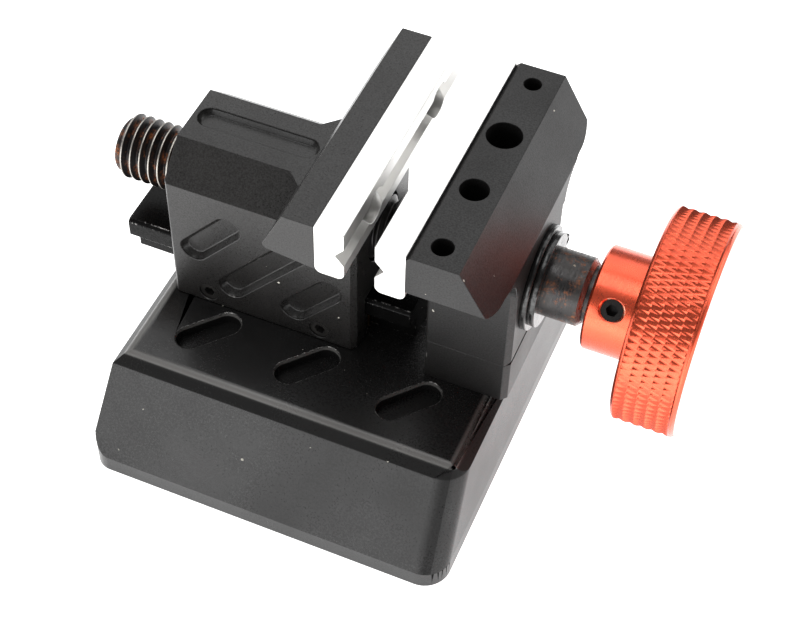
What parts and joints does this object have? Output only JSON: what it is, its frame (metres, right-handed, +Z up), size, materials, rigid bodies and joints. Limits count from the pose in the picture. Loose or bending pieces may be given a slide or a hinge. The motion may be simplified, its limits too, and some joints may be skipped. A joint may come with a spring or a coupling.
{
  "type": "watch movement holder",
  "caption": "Bench vice for holding a watch movement: a black base with a fixed jaw and a jaw driven along a T-rail by a red knurled knob and lead screw.",
  "frame": {"origin": "centre of the base's flat underside, on the bench", "axes": "+X along the lead screw towards the knob, +Y across the jaws away from the gib screws, +Z up from the bench"},
  "size_m": [0.0893, 0.066, 0.0534],
  "materials": {
    "black_body": "satin black anodised",
    "bright_plate": "ground, satin",
    "dark_steel": "oiled, darkened steel",
    "bronze": "turned bearing bronze",
    "red_knob": "satin red anodised"
  },
  "bodies": {
    "base": {"base_block": "black_body", "guide_rail": "black_body", "rail_screws": "dark_steel", "riser_block": "black_body", "locating_dowels": "dark_steel", "jaw_bolts": "dark_steel", "fixed_jaw": "black_body", "fixed_jaw_plate": "bright_plate", "fixed_plate_screws": "dark_steel", "screw_bush": "bronze"},
    "moving_jaw": {"moving_jaw": "black_body", "moving_jaw_plate": "bright_plate", "moving_plate_screws": "dark_steel", "gib_strip": "bronze", "gib_screws": "dark_steel", "lead_nut": "bronze"},
    "screw": {"lead_screw": "dark_steel", "thrust_washer": "dark_steel", "outer_retaining_ring": "dark_steel", "inner_washer": "dark_steel", "inner_retaining_ring": "dark_steel", "knob": "red_knob", "knob_set_screw": "dark_steel"}
  },
  "joints": [
    {"name": "jaw_slide", "type": "slide", "parent": "base", "child": "moving_jaw", "axis": [1, 0, 0], "range_m": [-0.0116, 0.0042]},
    {"name": "screw_turn", "type": "hinge", "parent": "base", "child": "screw", "pos_m": [0.0283, 0, 0.0344], "axis": [-1, 0, 0], "range_deg": [-2785, 1009]}
  ],
  "couplings": [
    {"joint": "screw_turn", "follows": "jaw_slide", "rad_per_m": 4188.8}
  ]
}
